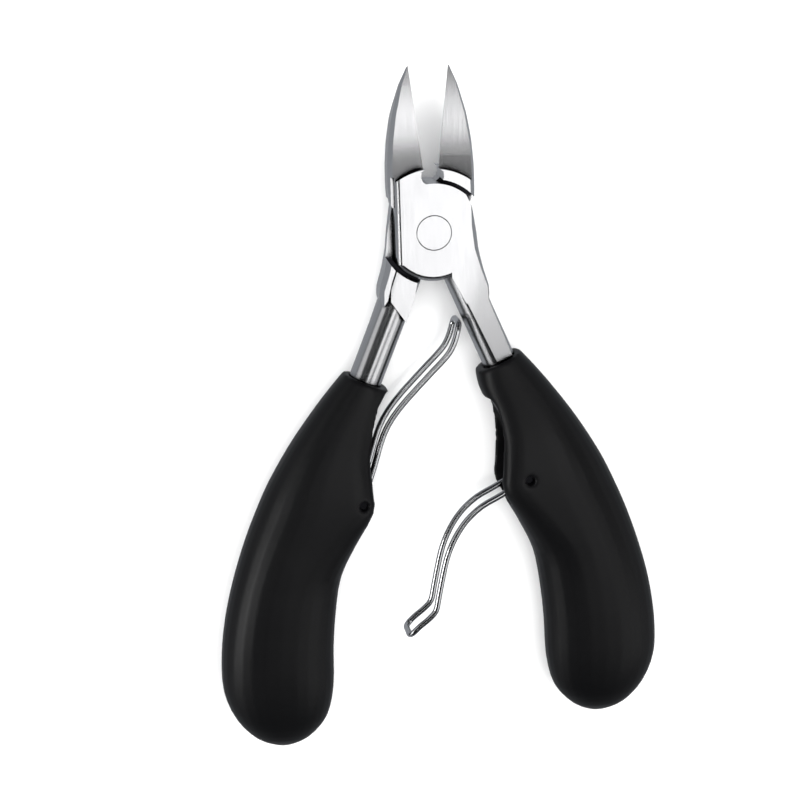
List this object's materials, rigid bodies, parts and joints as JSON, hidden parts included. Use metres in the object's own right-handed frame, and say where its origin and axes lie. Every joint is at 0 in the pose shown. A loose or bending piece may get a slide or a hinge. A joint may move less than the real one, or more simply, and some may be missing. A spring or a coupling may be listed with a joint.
{
  "type": "nail clipper",
  "caption": "Plier-type nail nipper with lap-jointed steel levers, pointed ground jaws, moulded soft grips and folding spring-wire arms.",
  "frame": {"origin": "on the pivot's axis, at the flat back face of the joint", "axes": "+Y from the pivot towards the jaws, +Z out of the front face, +X towards the right handle"},
  "size_m": [0.0837, 0.1284, 0.014],
  "materials": {
    "polished_steel": "polished forged stainless steel, finely brushed",
    "rivet_steel": "stainless steel ground flush",
    "soft_grip": "satin black moulded thermoplastic rubber",
    "spring_wire": "bright drawn spring wire",
    "dark_pin": "blackened steel pin"
  },
  "bodies": {
    "rear_half": {"rear_lever": "polished_steel", "pivot_rivet": "rivet_steel", "left_grip": "soft_grip", "left_spring_pin": "dark_pin"},
    "front_half": {"front_lever": "polished_steel", "right_grip": "soft_grip", "right_spring_pin": "dark_pin"},
    "left_arm": {"left_spring_arm": "spring_wire"},
    "right_arm": {"right_spring_arm": "spring_wire"}
  },
  "joints": [
    {"name": "jaw_hinge", "type": "hinge", "parent": "rear_half", "child": "front_half", "pos_m": [0, 0, 0.0045], "axis": [0, 0, 1], "range_deg": [-13.6, 12]},
    {"name": "left_arm_fold", "type": "hinge", "parent": "rear_half", "child": "left_arm", "pos_m": [-0.0148, -0.0504, 0.0045], "axis": [0, 0, 1], "range_deg": [-8.3, 8.3]},
    {"name": "right_arm_fold", "type": "hinge", "parent": "front_half", "child": "right_arm", "pos_m": [0.0166, -0.0474, 0.0045], "axis": [0, 0, 1], "range_deg": [-15, 15]}
  ],
  "couplings": [
    {"joint": "left_arm_fold", "follows": "jaw_hinge", "ratio": -0.6},
    {"joint": "right_arm_fold", "follows": "jaw_hinge", "ratio": -1.03}
  ]
}
